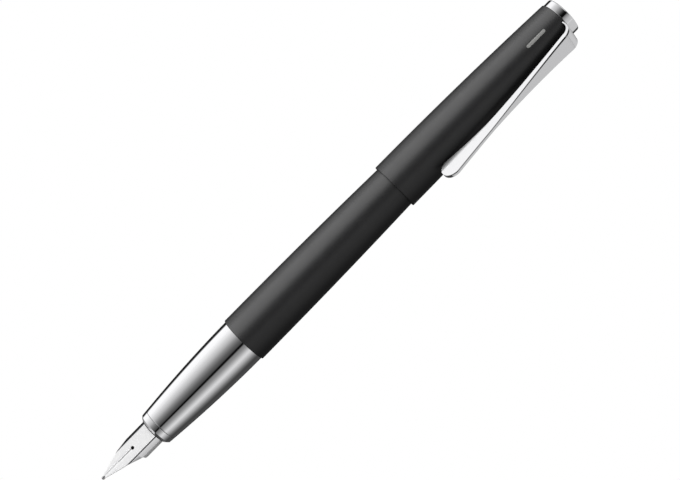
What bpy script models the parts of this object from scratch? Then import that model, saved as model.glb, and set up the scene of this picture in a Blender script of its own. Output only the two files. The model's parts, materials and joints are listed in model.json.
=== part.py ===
"""Fountain pen lying on a table, with its cap posted on the tail of the barrel.

The pen's own frame has X along the axis from the nib's point, and its pieces are turned about that
axis. A parent empty then lays the pen down: the clip's blade leans on the table, the barrel's widest
ring rests on it, and the whole box is centred on the origin.
"""
import math

import bmesh
import bpy
from mathutils import Matrix, Vector

MM = 0.001
FACETS = 40                      # facets round every turned piece; all share one phase
RUNNING_GAP = 0.06 * MM          # between pieces that turn or slide on each other
SEAT_GAP = 0.05 * MM             # between pieces that are pressed or glued together

# Stations along the axis, from the nib's point.
GRIP_FRONT_X = 16.65 * MM
RING_LENGTH = 2.1 * MM
JOINT_X = 47.1 * MM
CAP_LIP_X = 98.4 * MM
BARREL_TAIL_X = 127.6 * MM
CAP_END_X = 153.8 * MM
PEN_LENGTH = 156.0 * MM

# Radii.
BARREL_RADIUS = 6.41 * MM
BARREL_WALL = 0.8 * MM
GRIP_REAR_RADIUS = 6.06 * MM
GRIP_WALL = 0.55 * MM
CAP_RADIUS = 6.39 * MM
CAP_WALL = 0.35 * MM
CAP_TOP_BORE = 4.6 * MM
HEAD_RADIUS = 4.86 * MM
NOSE_BORE = 3.47 * MM
NOSE_RADIUS = 3.72 * MM
NOSE_REACH = 0.25 * MM            # how far the black nose stands out of the bright ring

# Screw joint between the grip section and the barrel.
THREAD_RADIUS = 4.75 * MM
THREAD_LENGTH = 8.6 * MM

# Nib: a folded steel sheet, flat on top with sloping flanks and upright wings.
NIB_TOP = 2.6 * MM
NIB_SHEET = 0.26 * MM
NIB_HALF_FLAT = 2.16 * MM
FLANK_SLOPE = math.radians(54.0)
FLANK_SLANT = 1.6 * MM
WING_DEPTH = 1.8 * MM
WING_SPREAD = 0.14 * MM
NIB_FRONT_X = 0.98 * MM
NIB_SHOULDER_X = 6.9 * MM
NIB_WING_X = 10.5 * MM
NIB_REAR_X = 23.5 * MM
SLIT_WIDTH = 0.09 * MM
BREATHER_X = 10.45 * MM
BREATHER_RADIUS = 0.44 * MM

# Feed under the nib.
FEED_FRONT_X = 5.6 * MM
FEED_SHOULDER_X = 24.8 * MM
FEED_REAR_X = 33.8 * MM
FEED_STEM_RADIUS = 2.28 * MM
FIN_PITCH = 0.62 * MM
FIN_SLOT = 0.26 * MM
FIN_COUNT = 9

# Converter: the ink pump inside the barrel.
CONVERTER_X = 36.4 * MM
TUBE_LENGTH = 44.0 * MM
TUBE_RADIUS = 3.4 * MM
TUBE_BORE = 2.75 * MM
COLLAR_RADIUS = 3.68 * MM
ROD_RADIUS = 1.1 * MM
NIPPLE_RADIUS = 1.2 * MM
KNOB_LENGTH = 24.0 * MM
KNOB_RADIUS = 3.3 * MM
KNOB_END_WALL = 0.9 * MM

# Clip: a band at the cap's head that turns into a standing blade at its free end.
BLADE_END_X = 108.1 * MM
BLADE_X = 111.0 * MM
BLADE_REACH = 11.6 * MM
BAND_X = 151.0 * MM
BAND_REACH = 8.12 * MM
BAND_LIFT = 1.6 * MM
BLADE_DIP = 1.0 * MM
BLADE_HALF_THICKNESS = 0.52 * MM
BAND_HALF_WIDTH = 2.68 * MM
ARM_HALF_WIDTH = 2.95 * MM
ARM_THICKNESS = 0.5 * MM
ARM_FACE_X = 153.66 * MM
ARM_FOOT = 3.95 * MM
HINGE_X = 152.8 * MM
HINGE_RADIUS = 2.9 * MM
EYE_RADIUS = 0.8 * MM
EYE_HALF_WIDTH = 1.2 * MM
PIN_RADIUS = 0.34 * MM
SPRING_RADIUS = 2.46 * MM

# How the pen lies: the blade's corner and the barrel's widest ring touch the table.
CLIP_DROP = math.asin(BARREL_RADIUS / BLADE_REACH) - math.atan(BLADE_HALF_THICKNESS / BLADE_REACH)
CLIP_ROLL = math.radians(90.0) + CLIP_DROP
NIB_ROLL = CLIP_ROLL - math.radians(64.2)
AXIS_Z = BARREL_RADIUS
AXIS_Y = 0.5 * (BLADE_REACH * math.cos(CLIP_DROP) - BARREL_RADIUS)


# --- outlines ------------------------------------------------------------------------------------

def grip_radius(x):
    """Bright grip: widest at the joint, falling ever faster towards the nib."""
    run = (JOINT_X - x) / (28.6 * MM)
    return GRIP_REAR_RADIUS - 1.36 * MM * max(run, 0.0) ** 1.87


def barrel_radius(x):
    run = max(x - JOINT_X, 0.0) / MM
    return BARREL_RADIUS - 1.448e-4 * MM * run ** 2.14


def cap_radius(x):
    run = max(x - CAP_LIP_X, 0.0) / MM
    return CAP_RADIUS - 4.476e-4 * MM * run ** 1.984


def spread(start, end, count):
    """Evenly spaced stations from start to end."""
    return [start + (end - start) * i / (count - 1) for i in range(count)]


# --- building blocks -----------------------------------------------------------------------------

def clear_scene():
    for obj in list(bpy.data.objects):
        bpy.data.objects.remove(obj, do_unlink=True)


def material(name, colour, roughness, metallic=0.0, transmission=0.0):
    """One Principled material, named after the finish."""
    mat = bpy.data.materials.get(name) or bpy.data.materials.new(name)
    mat.use_nodes = True
    shader = mat.node_tree.nodes["Principled BSDF"]
    shader.inputs["Base Color"].default_value = (*colour, 1.0)
    shader.inputs["Roughness"].default_value = roughness
    shader.inputs["Metallic"].default_value = metallic
    shader.inputs["Transmission Weight"].default_value = transmission
    mat.diffuse_color = (*colour, 1.0)
    return mat


def new_object(name, bm, finish=None, smooth=True):
    bmesh.ops.remove_doubles(bm, verts=bm.verts, dist=1e-7)
    bmesh.ops.recalc_face_normals(bm, faces=bm.faces)
    mesh = bpy.data.meshes.new(name)
    bm.to_mesh(mesh)
    bm.free()
    if smooth:
        mesh.shade_smooth()
        mesh.set_sharp_from_angle(angle=math.radians(30))
    obj = bpy.data.objects.new(name, mesh)
    bpy.context.collection.objects.link(obj)
    if finish:
        mesh.materials.append(material(f"{name}_finish", *finish))
    return obj


def spun(outline, closed, facets):
    """A bmesh made by spinning an (x, radius) outline once round the X axis."""
    bm = bmesh.new()
    verts = [bm.verts.new((x, 0.0, r)) for x, r in outline]
    pairs = list(zip(verts, verts[1:]))
    if closed:
        pairs.append((verts[-1], verts[0]))
    edges = [bm.edges.new(pair) for pair in pairs]
    bmesh.ops.spin(bm, geom=verts + edges, cent=(0, 0, 0), axis=(1, 0, 0),
                   angle=math.tau, steps=facets, use_merge=True)
    return bm


def turned_ring(name, outline, finish, facets=FACETS):
    """A turned piece with a hole along its axis: the outline is a closed loop."""
    return new_object(name, spun(outline, True, facets), finish)


def turned_solid(name, outline, finish, facets=FACETS):
    """A turned piece without a hole: the outline starts and ends on the axis."""
    return new_object(name, spun(outline, False, facets), finish)


def tube_outline(xs, outer, inner):
    """A closed outline between two radius functions over the same stations."""
    return [(x, outer(x)) for x in xs] + [(x, inner(x)) for x in reversed(xs)]


def lofted(name, sections, finish):
    """A solid through cross-sections that all have the same number of points."""
    bm = bmesh.new()
    rings = [[bm.verts.new(p) for p in section] for section in sections]
    count = len(rings[0])
    for ring, following in zip(rings, rings[1:]):
        for i in range(count):
            j = (i + 1) % count
            bm.faces.new((ring[i], ring[j], following[j], following[i]))
    bm.faces.new(rings[0])
    bm.faces.new(rings[-1])
    return new_object(name, bm, finish)


def block_mesh(low, high):
    """A box between two corners, as a bmesh."""
    bm = bmesh.new()
    size = [b - a for a, b in zip(low, high)]
    centre = [(a + b) / 2 for a, b in zip(low, high)]
    matrix = Matrix.Translation(centre) @ Matrix.Diagonal((*size, 1.0))
    bmesh.ops.create_cube(bm, size=1.0, matrix=matrix)
    return bm


def rod_mesh(start, end, radius, facets):
    """A plain round rod between two points, as a bmesh."""
    start, end = Vector(start), Vector(end)
    along = end - start
    turn = Vector((0, 0, 1)).rotation_difference(along).to_matrix().to_4x4()
    bm = bmesh.new()
    bmesh.ops.create_cone(bm, cap_ends=True, segments=facets, radius1=radius, radius2=radius,
                          depth=along.length,
                          matrix=Matrix.Translation((start + end) / 2) @ turn)
    return bm


def cutter(name, bm):
    obj = new_object(name, bm, smooth=False)
    obj.hide_render = True
    obj.display_type = "WIRE"
    return obj


def combine(obj, tool, operation="DIFFERENCE"):
    """Cut obj with tool, or join or trim it; the tool stays in the scene as a guide."""
    modifier = obj.modifiers.new(tool.name, "BOOLEAN")
    modifier.operation = operation
    modifier.solver = "EXACT"
    modifier.object = tool
    return obj


def parent_to(parent, *children):
    for child in children:
        child.parent = parent


def axis_empty(name, parent, location=(0, 0, 0), roll=0.0):
    empty = bpy.data.objects.new(name, None)
    bpy.context.collection.objects.link(empty)
    empty.parent = parent
    empty.location = location
    empty.rotation_euler = (roll, 0.0, 0.0)
    return empty


# --- finishes: colour, roughness, metallic, transmission -----------------------------------------

CHROME = ((0.82, 0.82, 0.83), 0.06, 1.0)
STEEL = ((0.74, 0.74, 0.74), 0.22, 1.0)
SPRING_STEEL = ((0.55, 0.55, 0.57), 0.3, 1.0)
BRASS = ((0.72, 0.55, 0.28), 0.3, 1.0)
MATT_BLACK = ((0.022, 0.022, 0.023), 0.42, 0.0)
BLACK_PLASTIC = ((0.012, 0.012, 0.013), 0.3, 0.0)
GREY_PLASTIC = ((0.18, 0.18, 0.19), 0.4, 0.0)
RED_PLASTIC = ((0.45, 0.03, 0.03), 0.3, 0.0)
CLEAR_PLASTIC = ((0.92, 0.93, 0.94), 0.05, 0.0, 1.0)
SEAL_RUBBER = ((0.03, 0.03, 0.03), 0.7, 0.0)


# --- barrel --------------------------------------------------------------------------------------

BUSH_X = JOINT_X + 0.62 * MM
BUSH_LENGTH = 9.6 * MM
BARREL_BORE = BARREL_RADIUS - BARREL_WALL


def make_barrel_shell():
    rear = BARREL_TAIL_X - 1.2 * MM
    xs = [JOINT_X, *spread(JOINT_X + 16 * MM, rear, 9)]
    outline = tube_outline(xs, barrel_radius, lambda x: barrel_radius(x) - BARREL_WALL)
    return turned_ring("barrel_shell", outline, MATT_BLACK)


def make_barrel_thread_bush():
    outer = BARREL_BORE - SEAT_GAP - 0.02 * MM
    bore = THREAD_RADIUS + 2 * RUNNING_GAP
    start, end = BUSH_X, BUSH_X + BUSH_LENGTH
    chamfer = 0.3 * MM
    outline = [(start, outer), (end, outer - 0.04 * MM), (end, bore), (start + chamfer, bore),
               (start, bore + chamfer)]
    return turned_ring("barrel_thread_bush", outline, BRASS)


def make_barrel_tail_disc():
    """Bright disc with a spigot, pressed into the barrel's tail."""
    seat = BARREL_TAIL_X - 1.2 * MM
    rim = barrel_radius(seat)
    spigot = rim - BARREL_WALL - SEAT_GAP
    edge = 0.35 * MM
    outline = [(seat - 2.2 * MM, 0.0), (seat - 2.2 * MM, spigot - 0.1 * MM),
               (seat - 1.9 * MM, spigot), (seat + SEAT_GAP, spigot), (seat + SEAT_GAP, rim),
               (BARREL_TAIL_X - edge, barrel_radius(BARREL_TAIL_X - edge)),
               (BARREL_TAIL_X, barrel_radius(BARREL_TAIL_X) - edge), (BARREL_TAIL_X, 0.0)]
    return turned_solid("barrel_tail_disc", outline, CHROME)


def make_joint_washer():
    """Thin washer trapped between the grip and the barrel's bush."""
    inner = THREAD_RADIUS + RUNNING_GAP
    outer = BARREL_BORE - 2 * RUNNING_GAP
    start, end = JOINT_X + 0.08 * MM, BUSH_X - 0.06 * MM
    outline = [(start, inner), (start, outer), (end, outer), (end, inner)]
    return turned_ring("joint_washer", outline, SEAL_RUBBER)


# --- grip section --------------------------------------------------------------------------------

CORE_FRONT_X = GRIP_FRONT_X + RING_LENGTH + 0.1 * MM
NOSE_FRONT_X = GRIP_FRONT_X - NOSE_REACH
CORE_WALL_X = FEED_REAR_X + 0.3 * MM
CORE_REAR_X = JOINT_X + THREAD_LENGTH
CONVERTER_SOCKET = 3.82 * MM


def make_grip_shell():
    xs = spread(GRIP_FRONT_X + RING_LENGTH + SEAT_GAP, JOINT_X - 0.05 * MM, 9)
    outline = tube_outline(xs, grip_radius, lambda x: grip_radius(x) - GRIP_WALL)
    return turned_ring("grip_shell", outline, CHROME)


def make_grip_front_ring():
    """Trim ring round the grip's mouth, with a rolled front edge."""
    front, rear = GRIP_FRONT_X, GRIP_FRONT_X + RING_LENGTH
    roll = 0.55 * MM
    crest = grip_radius(front + roll)
    arc = [(front + roll * (1 - math.cos(a)), crest - roll * (1 - math.sin(a)))
           for a in (0.0, math.radians(30), math.radians(60), math.radians(90))]
    bore = NOSE_RADIUS + SEAT_GAP
    outline = [(front, bore), *arc, (rear, grip_radius(rear)), (rear, bore)]
    return turned_ring("grip_front_ring", outline, CHROME)


def make_section_core():
    """Moulded core: nose through the front ring, stem bore, wall with the ink nipple, threaded tail."""
    fit = GRIP_WALL + SEAT_GAP
    body_xs = spread(CORE_FRONT_X, JOINT_X - 0.4 * MM, 6)
    stem_bore = FEED_STEM_RADIUS + SEAT_GAP + 0.02 * MM
    nipple_end = CORE_WALL_X + 6.4 * MM
    nipple_bore = 0.5 * MM
    wall_end = CORE_WALL_X + 1.0 * MM
    nose_end = FEED_SHOULDER_X + 0.2 * MM
    chamfer = 0.3 * MM
    outline = [(x, grip_radius(x) - fit) for x in body_xs]
    outline += [(body_xs[-1], THREAD_RADIUS), (CORE_REAR_X - chamfer, THREAD_RADIUS),
                (CORE_REAR_X, THREAD_RADIUS - chamfer), (CORE_REAR_X, CONVERTER_SOCKET),
                (wall_end, CONVERTER_SOCKET), (wall_end, NIPPLE_RADIUS),
                (nipple_end - chamfer, NIPPLE_RADIUS), (nipple_end, NIPPLE_RADIUS - chamfer),
                (nipple_end, nipple_bore), (CORE_WALL_X, nipple_bore), (CORE_WALL_X, stem_bore),
                (nose_end, stem_bore), (nose_end, NOSE_BORE), (NOSE_FRONT_X, NOSE_BORE),
                (NOSE_FRONT_X, NOSE_RADIUS), (CORE_FRONT_X, NOSE_RADIUS)]
    return turned_ring("section_core", outline, BLACK_PLASTIC)


# --- nib and feed, modelled with the sheet's flat top facing +Z ----------------------------------

def nib_fold(inset=0.0):
    """Half of the folded sheet's cross-section as (across, up), from the flat top to the wing."""
    flank = Vector((math.cos(FLANK_SLOPE), -math.sin(FLANK_SLOPE)))
    crease = Vector((NIB_HALF_FLAT - inset * math.tan(FLANK_SLOPE / 2), NIB_TOP - inset))
    knee = Vector((NIB_HALF_FLAT, NIB_TOP)) + FLANK_SLANT * flank
    foot = knee + Vector((WING_SPREAD, -WING_DEPTH))
    knee_in = knee - inset * Vector((0.96, 0.28))
    foot_in = foot - Vector((inset, 0.0))
    return crease, knee_in, foot_in


def nib_half_width(x):
    """Half width in plan, from the point to the shoulder."""
    run = (x - NIB_FRONT_X) / (NIB_SHOULDER_X - NIB_FRONT_X)
    return 0.48 * MM + (NIB_HALF_FLAT - 0.48 * MM) * run


def make_nib():
    crease, knee, foot = nib_fold()
    crease_in, knee_in, foot_in = nib_fold(NIB_SHEET)
    half = [foot, knee, crease]
    half_in = [crease_in, knee_in, foot_in]
    outline = [(p.x, p.y) for p in half] + [(-p.x, p.y) for p in reversed(half)]
    outline += [(-p.x, p.y) for p in reversed(half_in)] + [(p.x, p.y) for p in half_in]
    sections = [[(x, y, z) for y, z in outline] for x in (NIB_FRONT_X, NIB_REAR_X)]
    nib = lofted("nib", sections, STEEL)

    knee_half = knee.x + 0.02 * MM
    side = knee_half + 1.0 * MM
    plan = [(NIB_FRONT_X - 0.1 * MM, nib_half_width(NIB_FRONT_X)),
            (NIB_FRONT_X, nib_half_width(NIB_FRONT_X)), (NIB_SHOULDER_X, NIB_HALF_FLAT),
            (NIB_WING_X, knee_half), (NIB_WING_X, side), (NIB_REAR_X + MM, side)]
    plan += [(x, -y) for x, y in reversed(plan)]
    levels = (-2.0 * MM, NIB_TOP + MM)
    blank = lofted("nib_blank_outline", [[(x, y, z) for x, y in plan] for z in levels], None)
    blank.hide_render = True
    blank.display_type = "WIRE"
    combine(nib, blank, "INTERSECT")

    below, above = NIB_TOP - MM, NIB_TOP + MM
    slit = block_mesh((NIB_FRONT_X - MM, -SLIT_WIDTH / 2, below), (BREATHER_X, SLIT_WIDTH / 2, above))
    combine(nib, cutter("nib_slit", slit))
    hole = rod_mesh((BREATHER_X, 0, below), (BREATHER_X, 0, above), BREATHER_RADIUS, 16)
    combine(nib, cutter("nib_breather", hole))
    return nib, blank, *(m.object for m in nib.modifiers if m.object is not blank)


def make_nib_tipping():
    """Hard pellet welded under the point, with the slit continued as a groove."""
    centre = Vector((0.47 * MM, 0.0, NIB_TOP - 0.28 * MM))
    bm = bmesh.new()
    size = Matrix.Diagonal((0.47 * MM, 0.43 * MM, 0.42 * MM, 1.0))
    quarter_turn = Matrix.Rotation(math.radians(90), 4, "Y")
    bmesh.ops.create_uvsphere(bm, u_segments=14, v_segments=9, radius=1.0,
                              matrix=Matrix.Translation(centre) @ size @ quarter_turn)
    pellet = new_object("nib_tipping", bm, ((0.6, 0.6, 0.6), 0.15, 1.0))
    groove = block_mesh((-MM, -SLIT_WIDTH / 2, centre.z - 0.1 * MM), (2 * MM, SLIT_WIDTH / 2, 4 * MM))
    groove_tool = cutter("tipping_groove", groove)
    combine(pellet, groove_tool)
    return pellet, groove_tool


def feed_section(x, width, bottom):
    """Feed cross-section at x: fits under the folded nib, round below."""
    crease, knee, _ = nib_fold(NIB_SHEET + RUNNING_GAP)
    half = [(crease.x * width, crease.y), (knee.x * width, knee.y),
            (2.84 * MM * width, min(knee.y - 0.2 * MM, -0.2 * MM + (bottom + 2.95 * MM)))]
    arc_top = half[-1][1]
    for angle in (25, 50, 72):
        a = math.radians(angle)
        half.append((2.84 * MM * width * math.cos(a), arc_top + (bottom - arc_top) * math.sin(a)))
    points = half + [(0.0, bottom)] + [(-y, z) for y, z in reversed(half)]
    return [(x, y, z) for y, z in points]


def make_feed():
    """Ink feed: a tapered tongue under the nib, a finned belly and a round stem."""
    full = -2.95 * MM
    sections = [feed_section(FEED_FRONT_X, 0.3, 0.9 * MM),
                feed_section(8.2 * MM, 0.62, 0.2 * MM),
                feed_section(10.8 * MM, 0.98, -1.1 * MM),
                feed_section(13.5 * MM, 1.0, -2.3 * MM),
                feed_section(16.4 * MM, 1.0, full),
                feed_section(FEED_SHOULDER_X, 1.0, full)]
    feed = lofted("feed", sections, BLACK_PLASTIC)

    stem = rod_mesh((FEED_SHOULDER_X - MM, 0, 0), (FEED_REAR_X, 0, 0), FEED_STEM_RADIUS, FACETS)
    stem_tool = cutter("feed_stem", stem)
    combine(feed, stem_tool, "UNION")

    slots = bmesh.new()
    for i in range(FIN_COUNT):
        x = 11.2 * MM + i * FIN_PITCH
        slot = block_mesh((x, -4 * MM, -4 * MM), (x + FIN_SLOT, 4 * MM, -0.15 * MM))
        part = bpy.data.meshes.new("fin_slot")
        slot.to_mesh(part)
        slot.free()
        slots.from_mesh(part)
        bpy.data.meshes.remove(part)
    slot_tool = cutter("feed_fin_slots", slots)
    combine(feed, slot_tool)

    channel = block_mesh((FEED_FRONT_X - MM, -0.14 * MM, NIB_TOP - NIB_SHEET - 0.5 * MM),
                         (FEED_SHOULDER_X + MM, 0.14 * MM, NIB_TOP + MM))
    channel_tool = cutter("feed_ink_channel", channel)
    combine(feed, channel_tool)
    return feed, stem_tool, slot_tool, channel_tool


# --- converter -----------------------------------------------------------------------------------

TUBE_END_X = CONVERTER_X + TUBE_LENGTH
COLLAR_X = TUBE_END_X - 7.0 * MM
COLLAR_END_X = TUBE_END_X + 2.4 * MM
KNOB_X = COLLAR_END_X + 0.25 * MM
KNOB_END_X = KNOB_X + KNOB_LENGTH
PISTON_X = CONVERTER_X + 6.2 * MM
PISTON_LENGTH = 5.0 * MM
PISTON_STROKE = 20.0 * MM
CONVERTER_FACETS = 28


def make_converter_tube():
    end = TUBE_END_X
    outline = [(CONVERTER_X + MM, TUBE_RADIUS), (end, TUBE_RADIUS), (end, TUBE_BORE),
               (CONVERTER_X + MM, TUBE_BORE)]
    return turned_ring("converter_tube", outline, CLEAR_PLASTIC, CONVERTER_FACETS)


def make_converter_mouth():
    """Stepped seat in the tube's front that plugs onto the nipple."""
    bore = NIPPLE_RADIUS + SEAT_GAP
    plug = TUBE_BORE - SEAT_GAP
    front, flange_end = CONVERTER_X, CONVERTER_X + 0.95 * MM
    rear = CONVERTER_X + 5.0 * MM
    lead_in = 0.4 * MM
    outline = [(front, bore + lead_in), (front, TUBE_RADIUS), (flange_end, TUBE_RADIUS),
               (flange_end, plug), (rear, plug), (rear, bore), (front + lead_in, bore)]
    return turned_ring("converter_mouth", outline, GREY_PLASTIC, CONVERTER_FACETS)


def make_converter_collar():
    inner = TUBE_RADIUS + SEAT_GAP
    lip = ROD_RADIUS + 1.75 * MM
    inside_end = COLLAR_END_X - 0.4 * MM
    outline = [(COLLAR_X, inner), (COLLAR_X, COLLAR_RADIUS), (COLLAR_END_X, COLLAR_RADIUS),
               (COLLAR_END_X, lip), (inside_end, lip), (inside_end, inner)]
    return turned_ring("converter_collar", outline, CHROME, CONVERTER_FACETS)


def make_spindle_nut():
    """Threaded nut in the tube's back; the piston rod runs through it."""
    front = TUBE_END_X - 6.0 * MM
    rear = COLLAR_END_X - 0.46 * MM
    bore = ROD_RADIUS + RUNNING_GAP + 0.04 * MM
    neck = TUBE_BORE - SEAT_GAP
    outline = [(front, bore), (front, neck), (TUBE_END_X + 0.06 * MM, neck),
               (TUBE_END_X + 0.06 * MM, TUBE_RADIUS), (rear, TUBE_RADIUS), (rear, bore)]
    return turned_ring("spindle_nut", outline, BLACK_PLASTIC, CONVERTER_FACETS)


def make_piston_seal():
    radius = TUBE_BORE - RUNNING_GAP
    waist = radius - 0.5 * MM
    socket = ROD_RADIUS - 0.3 * MM
    start, end = PISTON_X, PISTON_X + PISTON_LENGTH
    lip = 1.1 * MM
    outline = [(start, 0.0), (start, waist), (start + 0.4 * MM, radius), (start + lip, radius),
               (start + lip + 0.3 * MM, waist), (end - lip - 0.3 * MM, waist), (end - lip, radius),
               (end, radius), (end, socket), (end - 2.4 * MM, socket), (end - 2.4 * MM, 0.0)]
    return turned_solid("piston_seal", outline, SEAL_RUBBER, CONVERTER_FACETS)


def make_piston_rod():
    """Spindle: its tip sits in the seal's socket, its tail runs inside the knob."""
    start = PISTON_X + PISTON_LENGTH
    tip = ROD_RADIUS - 0.3 * MM - SEAT_GAP
    end = KNOB_END_X - KNOB_END_WALL - PISTON_STROKE - 0.5 * MM
    outline = [(start - 2.3 * MM, 0.0), (start - 2.3 * MM, tip), (start + 0.05 * MM, tip),
               (start + 0.05 * MM, ROD_RADIUS), (end - 0.3 * MM, ROD_RADIUS),
               (end, ROD_RADIUS - 0.3 * MM), (end, 0.0)]
    return turned_solid("piston_rod", outline, GREY_PLASTIC, CONVERTER_FACETS)


def make_converter_knob():
    """Hollow finger knob; its neck turns in the collar's mouth."""
    neck = ROD_RADIUS + 1.6 * MM
    neck_x = COLLAR_END_X - 0.3 * MM
    bore = ROD_RADIUS + 0.3 * MM
    edge = 0.4 * MM
    outline = [(KNOB_END_X, 0.0), (KNOB_END_X, KNOB_RADIUS - edge),
               (KNOB_END_X - edge, KNOB_RADIUS), (KNOB_X + edge, KNOB_RADIUS),
               (KNOB_X, KNOB_RADIUS - edge), (KNOB_X, neck), (neck_x, neck), (neck_x, bore),
               (KNOB_END_X - KNOB_END_WALL, bore), (KNOB_END_X - KNOB_END_WALL, 0.0)]
    return turned_solid("converter_knob", outline, RED_PLASTIC, CONVERTER_FACETS)


# --- cap -----------------------------------------------------------------------------------------

SHOULDER_X = 148.3 * MM
LINER_X = 118.0 * MM
LINER_STEP_X = 129.3 * MM
LINER_WALL_X = 147.1 * MM
LINER_BORE = 4.05 * MM
CARRIER_X = SHOULDER_X + 0.12 * MM
CARRIER_END_X = CAP_END_X - 0.06 * MM
HEAD_X = CAP_END_X + 0.08 * MM
SPIGOT_RADIUS = 1.52 * MM
SPIGOT_X = 151.2 * MM
SCREW_RADIUS = 0.92 * MM


def make_cap_shell():
    """Cap tube: thin lip, wall that follows the outside, and a narrower bore for the clip carrier."""
    lip_bore = 6.13 * MM
    edge = 0.1 * MM
    outside = [(x, cap_radius(x)) for x in spread(CAP_LIP_X + 8 * MM, CAP_END_X, 9)]
    inside = [(x, cap_radius(x) - CAP_WALL) for x in spread(CAP_LIP_X + 9 * MM, SHOULDER_X, 7)]
    outline = [(CAP_LIP_X, lip_bore), (CAP_LIP_X, CAP_RADIUS - edge),
               (CAP_LIP_X + edge, CAP_RADIUS), *outside, (CAP_END_X, CAP_TOP_BORE),
               (SHOULDER_X, CAP_TOP_BORE), *reversed(inside), (CAP_LIP_X + 2 * MM, lip_bore)]
    return turned_ring("cap_shell", outline, MATT_BLACK)


def make_inner_cap():
    """Plastic liner: grips the barrel's tail, seals round the nib when the pen is closed."""
    outer = [(x, cap_radius(x) - CAP_WALL - SEAT_GAP)
             for x in spread(LINER_X, SHOULDER_X - 0.1 * MM, 6)]
    hold = barrel_radius(BARREL_TAIL_X - 2 * MM) + RUNNING_GAP
    screw_hole = SCREW_RADIUS + SEAT_GAP
    end = SHOULDER_X - 0.1 * MM
    inner = [(end, screw_hole), (LINER_WALL_X, screw_hole), (LINER_WALL_X, LINER_BORE),
             (LINER_STEP_X, LINER_BORE), (LINER_STEP_X, hold), (LINER_STEP_X - 4 * MM, hold),
             (LINER_X, cap_radius(LINER_X) - CAP_WALL - 0.34 * MM)]
    return turned_ring("inner_cap", outer + inner, GREY_PLASTIC)


def make_cap_head():
    """Bright end disc with a spigot; a flat under the clip's arm."""
    edge = 0.55 * MM
    rim = [(PEN_LENGTH - edge * (1 - math.sin(a)), HEAD_RADIUS - edge * (1 - math.cos(a)))
           for a in (0.0, math.radians(30), math.radians(60), math.radians(90))]
    bore = SCREW_RADIUS + SEAT_GAP
    outline = [(PEN_LENGTH, 0.0), *reversed(rim), (HEAD_X, HEAD_RADIUS), (HEAD_X, SPIGOT_RADIUS),
               (SPIGOT_X, SPIGOT_RADIUS), (SPIGOT_X, bore), (HEAD_X + 0.6 * MM, bore),
               (HEAD_X + 0.6 * MM, 0.0)]
    head = turned_solid("cap_head", outline, CHROME)
    flat = HEAD_RADIUS * math.cos(math.radians(20.0))
    tool = cutter("head_flat", block_mesh((HEAD_X - 0.02 * MM, -4 * MM, flat),
                                          (PEN_LENGTH + MM, 4 * MM, 8 * MM)))
    combine(head, tool)
    return head, tool


def make_clip_carrier():
    """Block in the cap's top with the pocket, pin hole and spring hole of the clip."""
    radius = CAP_TOP_BORE - SEAT_GAP
    spigot_bore = SPIGOT_RADIUS + SEAT_GAP
    screw_hole = SCREW_RADIUS + SEAT_GAP
    step = SPIGOT_X - 0.1 * MM
    outline = [(CARRIER_X, screw_hole), (CARRIER_X, radius), (CARRIER_END_X, radius),
               (CARRIER_END_X, spigot_bore), (step, spigot_bore), (step, screw_hole)]
    carrier = turned_ring("clip_carrier", outline, SPRING_STEEL)
    side = EYE_HALF_WIDTH + 0.1 * MM
    eye = block_mesh((HINGE_X - EYE_RADIUS - 0.1 * MM, -side, HINGE_RADIUS - EYE_RADIUS - 0.1 * MM),
                     (CAP_END_X + MM, side, 6 * MM))
    arm_side = ARM_HALF_WIDTH + 0.2 * MM
    arm = block_mesh((ARM_FACE_X - ARM_THICKNESS - 0.1 * MM, -arm_side, ARM_FOOT - 0.5 * MM),
                     (CAP_END_X + MM, arm_side, 6 * MM))
    pin = rod_mesh((HINGE_X, -5 * MM, HINGE_RADIUS), (HINGE_X, 5 * MM, HINGE_RADIUS),
                   PIN_RADIUS + SEAT_GAP, 16)
    spring = rod_mesh((CARRIER_X + 0.8 * MM, 0, SPRING_RADIUS), (HINGE_X, 0, SPRING_RADIUS),
                      0.64 * MM, 16)
    tools = [cutter("carrier_eye_pocket", eye), cutter("carrier_arm_pocket", arm),
             cutter("carrier_pin_hole", pin), cutter("carrier_spring_hole", spring)]
    for tool in tools:
        combine(carrier, tool)
    return carrier, *tools


def cap_slot_cutter():
    """Notch in the cap's end through which the clip's arm passes."""
    side = ARM_HALF_WIDTH + 0.12 * MM
    front = ARM_FACE_X - ARM_THICKNESS - 0.12 * MM
    return cutter("cap_arm_notch", block_mesh((front, -side, 3 * MM), (CAP_END_X + MM, side, 8 * MM)))


def make_clip_pin():
    half = 2.7 * MM
    bm = rod_mesh((HINGE_X, -half, HINGE_RADIUS), (HINGE_X, half, HINGE_RADIUS), PIN_RADIUS, 16)
    return new_object("clip_pin", bm, STEEL)


def make_clip_spring():
    """Small compression coil behind the clip's eye."""
    start = CARRIER_X + 0.95 * MM
    end = HINGE_X - EYE_RADIUS - 0.2 * MM
    turns, coil, wire = 5, 0.44 * MM, 0.09 * MM
    steps = 12 * turns
    curve = bpy.data.curves.new("clip_spring", "CURVE")
    curve.dimensions = "3D"
    curve.bevel_depth = wire
    curve.bevel_resolution = 1
    curve.use_fill_caps = True
    spline = curve.splines.new("POLY")
    spline.points.add(steps)
    for i, point in enumerate(spline.points):
        run = i / steps
        angle = math.tau * turns * run
        point.co = (start + (end - start) * run, coil * math.cos(angle),
                    SPRING_RADIUS + coil * math.sin(angle), 1.0)
    obj = bpy.data.objects.new("clip_spring", curve)
    bpy.context.collection.objects.link(obj)
    curve.materials.append(material("clip_spring_finish", *SPRING_STEEL))
    return obj


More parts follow.
